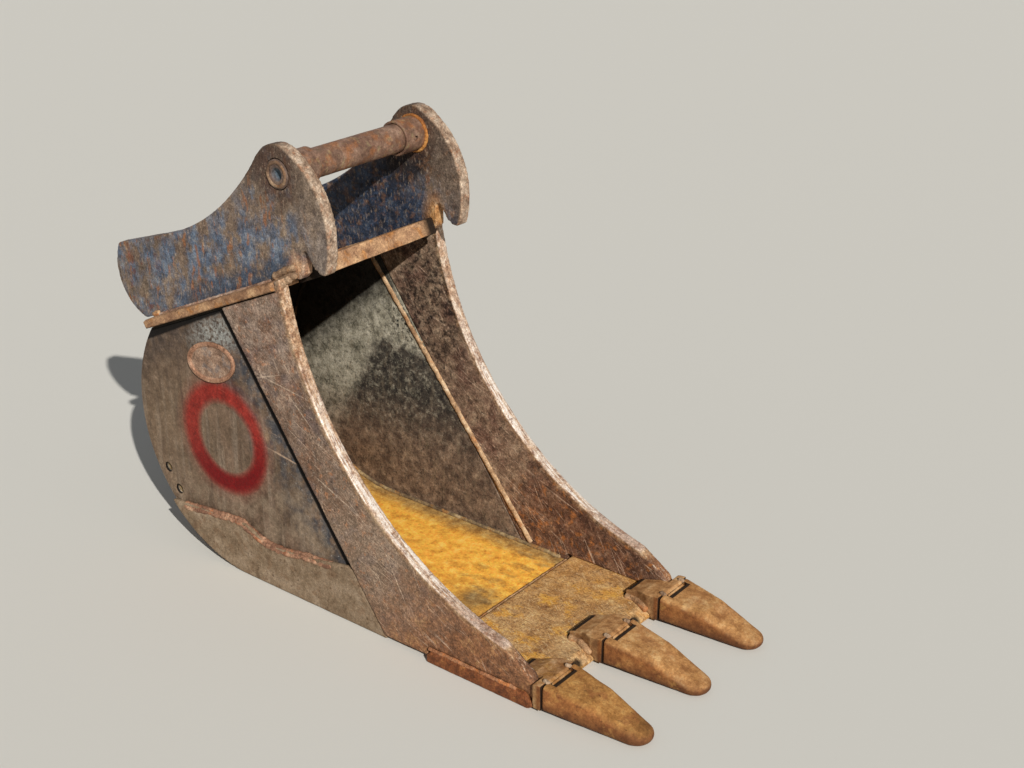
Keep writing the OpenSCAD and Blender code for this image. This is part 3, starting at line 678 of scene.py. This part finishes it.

# %% [markdown]
# ## Teeth and adapters
# Both are worn cast steel. Two finishes by hand could drift apart, so one function makes both, the
# adapter's dustier. The open joints between tooth, tongue and strap are packed with black soil, and a
# shadow is painted on each strap's rear end, all drawn by bands along and across each row.


# %% Teeth and adapters
def cast_steel(name, redder, seed, dusty=False):
    """Cast steel worn smooth: an even orange-brown, yellower on its crown and redder low on its cheeks."""
    cast = Finish(name, tones("#60391e #804f2c #986337 #ae7947"), 30, seed=seed)
    crown = cast.facing(UPRIGHT, 0.35, 0.95)
    cast.cover(crown, colour=tones("#855c2e #ad7d45 #ca9d5e", 0.2, 0.55, 0.9), share=0.8)
    cast.patches(45, 0.5, 0.6, seed + 1, redder, 0.6, detail=6)
    cast.cover(cast.past(spot(0, 0, 24), (0, 0, -1), 24, 14), colour="#4f321f", share=0.7)
    cast.patches(9, 0.6, 0.68, seed + 2, "#53341f", 0.7, detail=7, lift=-0.3)
    cast.patches(26, 0.58, 0.68, seed + 3, "#b98a4c", 0.45, detail=7)
    cast.patches(12, 0.35, 0.55, 7, "#a88259", 0.5, cast.edges(6, 0.04, 0.3), detail=6)
    if dusty:
        dust = tones("#9a7049 #c0946a #d6b48e")
        cast.patches(20, 0.4, 0.6, seed + 5, dust, 0.75, cast.facing(UPRIGHT, 0.5, 0.95))
    leftward = cast.past(spot(0, -95, 0), (0, 1, 0), 40)
    pale = tones("#96683f #bd8c5b #d6ae7e", 0.2, 0.55, 0.9)
    cast.cover(leftward, cast.facing(UPRIGHT, 0.1, 0.8), colour=pale, share=0.85 if dusty else 0.55)
    if dusty:
        strap = cast.band(STRAP_REAR, JOINT - 10, soft=6)
        dull = tones("#7d5a3b #a27c53 #c0a078", 0.2, 0.55, 0.9)
        cast.cover(strap, cast.facing(UPRIGHT, 0.9, 0.5), colour=dull, share=0.85)
    slot = cast.band(JOINT, JOINT + 20.5)
    tongue = cast.band(JOINT - 9, JOINT + 13)
    off_tongue = add(cast.tree, "Math", {0: 1.0, 1: tongue}, operation="SUBTRACT").outputs[0]
    beside = cast.across(28, 29, rows=True)
    soil = add(cast.tree, "Math", {0: off_tongue, 1: beside}, operation="MAXIMUM").outputs[0]
    cast.cover(slot, soil, cast.across(32, 31, rows=True), colour="#120e0c", share=0.95, rough=0.95)
    seam = cast.band(JOINT - 1.5, JOINT + 3.5)
    cast.cover(seam, cast.across(28, 29, rows=True), colour="#120e0c", share=0.9, rough=0.95)
    # Painted shadow: a near-black dash on top of each strap's rear end.
    painted_shadow_strap_end = cast.band(STRAP_REAR - 2, STRAP_REAR + 10)
    cast.cover(painted_shadow_strap_end, cast.across(34, 33, rows=True), cast.facing(OUTWARDS, 0.6, 0.3), colour="#0f0c0a",
               share=0.96, rough=0.95)
    return cast.close(grain=0.35, blotches=0.2, pits=0.3, pit_size=5)


TOOTH_STEEL = cast_steel("cast_tooth_worn_smooth", "#8a5632", 31)
ADAPTER_STEEL = cast_steel("cast_adapter_rusted", "#7a4a2c", 41, dusty=True)

# %% [markdown]
# ## Shaft and oval plate
# The shaft is a turned bar, polished brown by the coupler, with dull ends that are blue-grey in the
# centre. The oval plate's proud rim is rubbed orange-brown, and its sunken field, an ellipse in the mask
# too, is dull.

# %% Shaft and oval plate
# A turned bar: a smooth, even brown, with a little more shine than plate.
shaft = Finish("turned_shaft_rusted", tones("#543c30 #6f5344 #836756 #9a7f6c"), 34, seed=71, rough=0.6)
shaft.patches(30, 0.5, 0.62, 72, "#8e5a34", 0.7)
shaft.patches(9, 0.6, 0.68, 73, "#46301f", 0.6, detail=7, lift=-0.3)
shaft.patches(20, 0.5, 0.6, 74, "#5a463a", 0.5)
shaft.patches(13, 0.56, 0.64, 75, "#968562", 0.45)
ends = shaft.across(180, 183)
shaft.cover(ends, colour=tones("#4f3f38 #6c5a50 #8b7767", 0.2, 0.55, 0.9))
centre = shaft.near(*PIN, 9, 14, ragged=6, size=10)
shaft.cover(ends, centre, colour=tones("#36424c #4f606c #7a8488"), share=0.9)
PIN_STEEL = shaft.close(grain=0.5)

OVAL, OVAL_HALVES, OVAL_TURN = (228, 444), (60, 33), radians(-14)
# Plate with a raised rim: a dusty pink-brown, with the rim as its lightest line.
oval = Finish("oval_plate_rusted", tones("#704e3c #946c55 #ac856c #c6a38b"), 30, seed=81)
field = oval.near(*OVAL, 0.93, 1.0, stretch=OVAL_HALVES, turn=OVAL_TURN)
oval.cover(field, colour=tones("#6d5748 #987c68 #bca28c", 0.2, 0.55, 0.9), share=0.9)
oval.patches(24, 0.54, 0.64, 82, "#6a6a6c", 0.5, field, detail=6)
oval.patches(9, 0.58, 0.66, 83, "#46301f", 0.6, detail=7, lift=-0.3)
oval.cover(oval.edges(4, 0.03, 0.25), colour="#c39a78", share=0.6)
OVAL_STEEL = oval.close(grain=0.6)

# %% [markdown]
# ## Top plate, heel plates and welds
# These have the same even coat of rust, with darker scabs and rubbed edges, in different tones, so one
# function makes them all. Welds are brighter than plate, because their rough ripples rust first and rub
# first.


# %% One rust for many tones
def plain_rust(name, codes, scab, seed, grain=0.45, under=None, painted_shade=None):
    """Rolled steel under an even coat of rust, with darker scabs and lighter rubbed edges. An underside
    colour paints shade on the downward faces, and a mask function paints a zone near-black as shade.
    """
    rust = Finish(name, tones(codes), 40, seed=seed)
    rust.patches(28, 0.54, 0.63, seed + 1, scab, 0.7)
    rust.patches(9, 0.6, 0.68, seed + 2, "#46301f", 0.6, detail=7, lift=-0.3)
    rust.patches(12, 0.35, 0.55, seed + 3, "#bb9a76", 0.55, rust.edges(4, 0.03, 0.25), detail=6)
    # Painted shade: the downward faces take the darker underside colour.
    if under:
        rust.cover(rust.facing((0, 0, -1), 0.5, 0.9), colour=under, share=0.9, rough=0.95)
    # Painted shade: the zone that the mask function gives is near-black.
    if painted_shade:
        rust.cover(painted_shade(rust), colour="#0c0a09", share=0.95, rough=0.95)
    return rust.close(grain=grain)


# %% Plates and welds, each in its tones
# Hot-rolled plate, sunned to a warm tan, with its underside painted black as shade; the front bar has
# near-black painted shade at both ends, beside the ears.
TAN_PLATE = {"codes": "#6f4e38 #977357 #b28c69 #cda77f", "scab": "#a56f3c", "seed": 51, "grain": 0.6,
             "under": "#221b16"}
TOP_STEEL = plain_rust("top_plate_rusted_tan", **TAN_PLATE)
BEAM_STEEL = plain_rust("front_bar_rusted_tan", **TAN_PLATE, painted_shade=lambda rust: rust.across(128, 150))
# Wear plate that drags through dry clay: a flat grey-brown.
HEEL_STEEL = plain_rust("heel_plate_dusty", "#66523f #806c56 #8f7b65 #a28e78", "#7b624b", 61)
# Plain weld metal: a redder brown than the plate, so that a thin bead still shows.
WELD_STEEL = plain_rust("weld_bead_rusted", "#68412b #8c5d40 #a47453 #bf9675", "#b86f3a", 91, grain=0.6)
# The heel's double bead: pinkish, because it is rubbed with the plate it holds.
HEEL_WELD = plain_rust("weld_bead_pinkish", "#5f4436 #835f4b #9c755d #b89579", "#a0623e", 93, grain=0.7)
# Beads beside the top plate and on the lip: tan like the plates that they join.
TAN_WELD = plain_rust("weld_bead_tan", "#7c5a40 #a07a58 #bb966f #d2b38c", "#a8693a", 97, grain=0.6)
# Thick fillets at the ears' feet and the tongues: pale, with broken highlights.
PALE_WELD = plain_rust("weld_fillet_pale", "#705a49 #92765d #ad9378 #c7b49d", "#8a603a", 99, grain=0.7)
# The ring round the shaft's end: dark, with a little orange.
EAR_WELD = plain_rust("weld_ring_orange", "#4c3b31 #6b5342 #866c56 #a58c72", "#8a5f3c", 101)
# The bead along the ear's foot: greyish pink, a light line under the dark paint.
FOOT_WELD = plain_rust("weld_bead_greyish_pink", "#6f574a #957866 #b19583 #ccb6a4", "#9a6a52", 107,
                       grain=0.7)
# The collars' beads, laid last: a bright fresh orange.
FRESH_WELD = plain_rust("weld_ring_fresh_rust", "#7a4a28 #a46a36 #bd8448 #d8aa6c", "#b8752e", 103)
# Beads in the bowl's corners: dusty low down, and painted black above as shade.
DUSTY_WELD = plain_rust("weld_bead_dusty", "#574635 #77654c #957e5a #b09a76", "#9a6a38", 95, grain=0.6,
                        painted_shade=lambda rust: rust.past(spot(0, 0, 360), UPRIGHT, 60))
# The seam between side plate and bar, swept by soil: the palest line in the bowl.
SEAM_WELD = plain_rust("weld_bead_worn_pale", "#86664a #ab8a68 #c4a683 #dcc6a8", "#ad7242", 105, grain=0.6)

# %% [markdown]
# ## Worn plates
# The CAD plates have sharp edges and flat faces. Plate that has dug for years has rolled edges and small
# dents. They could be sculpted, but not the same way twice. So each node is copied, and a bevel rolls the
# copy's edges. Where wear shows, a fine remesh follows and a displacement that only presses inwards, as a
# stone does, so the piece stays within its real size.


# %% Select and modify
def pick(*pieces):
    """Selects these objects alone; the first is the active one."""
    bpy.ops.object.select_all(action="DESELECT")
    for piece in pieces:
        piece.select_set(True)
    bpy.context.view_layer.objects.active = pieces[0]


def modify(piece, kind, **settings):
    """Adds a modifier with its settings and applies it."""
    pick(piece)
    step = piece.modifiers.new(kind.lower(), kind)
    for name, value in settings.items():
        setattr(step, name, value)
    bpy.ops.object.modifier_apply(modifier=step.name)


def dents(name, size):
    """A soft cloud pattern whose lumps are about size mm across, for the Displace modifier."""
    pattern = bpy.data.textures.new(name, "CLOUDS")
    pattern.noise_scale = size * MM
    pattern.noise_depth = 2
    return pattern


def finish_piece(piece, material):
    """Gives a piece its one material, and tells the frame that it rides on the bucket."""
    piece.data.materials.clear()
    piece.data.materials.append(material)
    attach(piece, "root")


SHALLOW = dents("shallow_dents", 34)
BUMPY = dents("bumpy_skin", 11)
print("dents:", round(SHALLOW.noise_scale / MM), "and", round(BUMPY.noise_scale / MM), "mm")


# %% Copy a plate, roll its edges and dent it
def dress(node, material, roll=2.5, skin=0, wear=0.0, smooth=0):
    """Replaces a CAD node by a copy with rolled edges; with a skin size, also with dents wear mm deep."""
    pick(frame["nodes"][node])
    bpy.ops.object.duplicate()
    piece = bpy.context.object
    for label in list(piece.keys()):
        del piece[label]
    bpy.ops.object.parent_clear(type="CLEAR_KEEP_TRANSFORM")
    piece.name = node + "_worn"
    piece.data.name = piece.name
    bpy.ops.object.mode_set(mode="EDIT")
    bpy.ops.mesh.select_all(action="SELECT")
    bpy.ops.mesh.remove_doubles(threshold=0.01 * MM)
    bpy.ops.mesh.dissolve_limited(angle_limit=radians(0.8))
    bpy.ops.object.mode_set(mode="OBJECT")
    if roll:
        modify(piece, "BEVEL", width=roll * MM, segments=3, limit_method="ANGLE", angle_limit=radians(32))
    if skin:
        modify(piece, "REMESH", mode="VOXEL", voxel_size=skin * MM)
        if smooth:
            modify(piece, "SMOOTH", factor=0.5, iterations=smooth)
        for pattern, share in ((SHALLOW, 1.0), (BUMPY, 0.4)):
            modify(piece, "DISPLACE", texture=pattern, strength=share * wear * MM, mid_level=1.0,
                   texture_coords="LOCAL")
        bpy.ops.object.shade_smooth()
    else:
        bpy.ops.object.shade_smooth_by_angle(angle=radians(35))
    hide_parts(node)
    finish_piece(piece, material)


print("nodes to dress:", len(frame["nodes"]))

# %% [markdown]
# ## Dress every node
# Thick plate that soil rubs gets the deepest dents and widest rolled edges. The teeth are cast, so they
# get no bevel but more smoothing. Side plates, shell and keepers get rolled edges alone.

# %% Dress every node
for side in SIDE_NAMES.values():
    dress("side_plate_" + side, SIDE_STEEL, roll=1.0)
    dress("side_bar_" + side, BAR_STEEL, roll=3, skin=3.2, wear=1.4)
    dress("ear_" + side, EAR_PAINT, roll=3, skin=3.0, wear=1.0)
    dress("heel_plate_" + side, HEEL_STEEL, roll=2, skin=3.2, wear=0.8)
    dress("pin_collar_" + side, PIN_STEEL, roll=2, skin=1.6, wear=0.6)
dress("back_shell", SHELL_STEEL, roll=1.5)
dress("lip_plate", LIP_STEEL, roll=2.5, skin=3.0, wear=1.2)
dress("top_plate", TOP_STEEL, roll=2.5, skin=4.6, wear=1.4)
dress("front_beam", BEAM_STEEL, roll=3, skin=2.6, wear=1.4)
dress("oval_plate", OVAL_STEEL, roll=1.2, skin=1.5, wear=0.5)
dress("coupler_pin", PIN_STEEL, roll=2, skin=2.6, wear=0.6)
for row in ("left", "middle", "right"):
    dress("adapter_" + row, ADAPTER_STEEL, roll=2.5, skin=2.0, wear=1.0, smooth=1)
    dress("tooth_" + row, TOOTH_STEEL, roll=0, skin=2.2, wear=1.2, smooth=5)
    dress("tooth_keeper_" + row, PIN_STEEL, roll=1.5)

# %% [markdown]
# ## Weld beads
# A weld is a row of small ripples, each laid half over the one before. A plain tube with a bump would
# miss the broken outline, which is what the eye catches. So an array repeats one flattened ripple along a
# guide, a curve modifier bends the row, a remesh fuses it, and a displacement makes it uneven.


# %% Draw a guide
def guide_line(points):
    """A curve object through the points, drawn by extruding one vertex."""
    bpy.ops.object.select_all(action="DESELECT")
    bpy.ops.mesh.primitive_plane_add(size=MM, location=points[0])
    bpy.ops.object.transform_apply(location=True, rotation=True, scale=True)
    bpy.ops.object.mode_set(mode="EDIT")
    bpy.ops.mesh.select_all(action="SELECT")
    bpy.ops.mesh.merge(type="CENTER")
    for before, after in zip(points, points[1:]):
        bpy.ops.mesh.extrude_region_move(TRANSFORM_OT_translate={"value": after - before})
    bpy.ops.object.mode_set(mode="OBJECT")
    bpy.ops.object.convert(target="CURVE")
    return bpy.context.object


# %% Lay a bead
LUMPY = dents("lumpy_weld", 12)
# A ripple is squashed along the bead, and its skin is never finer than this, in mm.
FLAT = (0.55, 1, 1)
FINEST = 1.2


def bead(name, points, width, material, step=0.42, rough=0.25):
    """A weld bead of this width in mm along the points, each ripple step widths after the last."""
    guide = guide_line(points)
    bpy.ops.object.select_all(action="DESELECT")
    bpy.ops.mesh.primitive_uv_sphere_add(segments=10, ring_count=6, radius=width / 2 * MM,
                                         rotation=(0, pi / 2, 0))
    ripples = bpy.context.object
    ripples.name = name
    ripples.data.name = name
    bpy.ops.transform.resize(value=FLAT)
    bpy.ops.object.transform_apply(location=True, rotation=True, scale=True)
    modify(ripples, "ARRAY", fit_type="FIT_CURVE", curve=guide, use_relative_offset=False,
           use_constant_offset=True, constant_offset_displace=(step * width * MM, 0, 0))
    modify(ripples, "CURVE", object=guide, deform_axis="POS_X")
    modify(ripples, "REMESH", mode="VOXEL", voxel_size=max(FINEST, width / 5.3) * MM)
    modify(ripples, "DISPLACE", texture=LUMPY, strength=rough * width * MM, mid_level=0.5,
           texture_coords="LOCAL")
    bpy.ops.object.shade_smooth()
    bpy.data.objects.remove(guide)
    finish_piece(ripples, material)


print("thinnest ripple skin:", FINEST, "mm")

# %% [markdown]
# ## Beads on the sides and in the bowl
# The heel plate's wavy edge has a double bead. The side plate is welded to the bar and the shell, inside
# and out, and the lip's end to the bar. Each guide is built from the plates' own sizes, so it lies in
# their corner. A mirror would give both sides the same ripples, so each side is laid on its own.

# %% Beads on the sides and in the bowl
HEEL_EDGE = [(116, 94), (139, 96), (161, 100), (206, 104), (251, 110), (284, 111), (304, 102), (322, 95),
             (340, 90), (358, 86), (406, 87), (448, 95), (502, 99), (530, 103)]
SEAM_FOOT, SEAM_TOP = (684, 26), (262, 560)
BACK_R = 300
SHELL_T, SIDE_T = 16, 12
plate_in = plate_out - SIDE_T


def around(centre, radius, start, end, y, step=9):
    """Points on an arc in side view, y mm across; degrees run from straight down to the rear."""
    angles = [radians(start + k * step) for k in range(int((end - start) / step) + 1)]
    return [spot(centre[0] - radius * sin(a), y, centre[1] - radius * cos(a)) for a in angles]


for side, word in SIDE_NAMES.items():
    heel = [spot(x, side * (plate_out + 6), z + 1) for x, z in HEEL_EDGE]
    bead("heel_bead_" + word, heel, 13, HEEL_WELD, rough=0.45)
    inward_up = Vector((0, -side * 3 * MM, 6 * MM))
    bead("heel_root_bead_" + word, [p + inward_up for p in heel], 10, HEEL_WELD, rough=0.45)
    foot, top = [spot(x, side * (plate_in + 2), z) for x, z in (SEAM_FOOT, SEAM_TOP)]
    seam = [foot.lerp(top, k / 4) for k in range(5)]
    bead("inner_seam_bead_" + word, seam, 14, SEAM_WELD, rough=0.2)
    corner = side * (plate_in - 1)
    straight = [spot(x, corner, SHELL_T + 2) for x in range(760, 340, -70)]
    arc = around((BACK_R, BACK_R), BACK_R - SHELL_T - 2, 0, 126, corner)
    bead("bowl_fillet_" + word, straight + arc, 10, DUSTY_WELD)
    outer_arc = around((BACK_R, BACK_R), BACK_R - 2, 27, 126, side * (plate_in + 1))
    bead("back_seam_bead_" + word, outer_arc, 7, WELD_STEEL)
    shoe = [spot(x, side * (bar_out + 1), 27) for x in range(782, 1000, 40)]
    bead("shoe_bead_" + word, shoe, 8, WELD_STEEL, rough=0.4)

# %% [markdown]
# ## Beads on the ears
# Each ear is welded to the sloping top plate, and the shaft and its collars to the ears. At the ear's
# front foot four short fat beads fill the corner. One function gives places on the slope, so a bead needs
# only its distance along it.

# %% Beads on the ears
TOP_REAR = (46, 490)
TOP_PITCH = radians(23.8)
ear_in, ear_out = [corner.y for corner in node_box("ear_left")]
CORNER_FILL = ((3, 9, 396, 452), (5, -3, 400, 450), (13, -6, 404, 440), (23, -10, 408, 430))


def on_top(along, y, over=0):
    """A place on the sloping top plate: mm along it from its rear edge, mm across and mm over it."""
    return spot(TOP_REAR[0] + along * cos(TOP_PITCH) - over * sin(TOP_PITCH), y,
                TOP_REAR[1] + along * sin(TOP_PITCH) + over * cos(TOP_PITCH))


def ring(centre, radius, y, count=20):
    """A closed row of points round a shaft's end."""
    angles = [k * 2 * pi / count for k in range(count + 1)]
    return [spot(centre[0] + radius * cos(a), y, centre[1] + radius * sin(a)) for a in angles]


for side, word in SIDE_NAMES.items():
    outer_foot = [on_top(k, side * (ear_out + 1), 0) for k in range(2, 400, 56)]
    bead("ear_foot_outer_" + word, outer_foot, 7, FOOT_WELD, rough=0.35)
    inner_foot = [on_top(k, side * (ear_in - 1), 1) for k in range(8, 412, 56)]
    bead("ear_foot_inner_" + word, inner_foot, 10, TAN_WELD, rough=0.35)
    under_edge = [on_top(k, side * (plate_out + 1), -20) for k in range(16, 330, 50)]
    bead("top_seam_" + word, under_edge, 7, DUSTY_WELD)
    shaft_end = ring(PIN, 22, side * (ear_out - 0.5))
    bead("shaft_end_bead_" + word, shaft_end, 8, EAR_WELD, rough=0.3)
    bead("collar_bead_" + word, ring(PIN, 35, side * (ear_in - 1)), 8, FRESH_WELD)
    lump = [on_top(0, side * ear_out, 2), on_top(18, side * ear_out, 3)]
    bead("ear_heel_lump_" + word, lump, 13, TAN_WELD, step=0.3, rough=0.4)
    for k, (outward, over, start, end) in enumerate(CORNER_FILL):
        y = side * (ear_out + outward)
        half_way = (start + end) / 2
        fill = [on_top(start, y, over - 3), on_top(half_way, y, over), on_top(end, y - side * 2, over)]
        bead("corner_fill_%d_%s" % (k, word), fill, 16, PALE_WELD, step=0.3, rough=0.5)

# %% [markdown]
# ## Beads on the lip
# One long bead joins the lip to the floor. Each adapter's strap is held by a fat fillet that flares out
# ahead, and small lumps sit beside its tongue. The outer straps touch the side bars, so they have an
# inner fillet only.

# %% Beads on the lip
FLARE = ((-78, 39, 0), (-60, 39, 0), (-50, 42, 1), (-36, 49, 0), (-24, 50, -5))
lip_rear, lip_top = node_box("lip_plate")[0].x, node_box("lip_plate")[1].z
lip_seam = [spot(lip_rear + 3, y, SHELL_T + 2) for y in range(-196, 197, 56)]
bead("lip_seam_bead", lip_seam, 9, TAN_WELD, rough=0.3)
for row, word in ((RIGHT, "right"), (0, "middle"), (LEFT, "left")):
    middle = row * ROW_STEP
    for flank in (LEFT, RIGHT):
        if flank != row:
            flare = [spot(JOINT + x, middle + flank * y, lip_top + z) for x, y, z in FLARE]
            bead("strap_fillet_%s_%d" % (word, flank), flare, 15, TAN_WELD, step=0.28, rough=0.2)
    for flank in (LEFT, RIGHT):
        lump = [spot(JOINT - 5, middle + flank * 31, 60), spot(JOINT + 4, middle + flank * 32, 59)]
        bead("tongue_lump_%s_%d" % (word, flank), lump, 9, PALE_WELD, step=0.3, rough=0.5)

# %% [markdown]
# ## Within the CAD box
# The worn bucket has to fit in the CAD model's box, because wear only takes steel away.
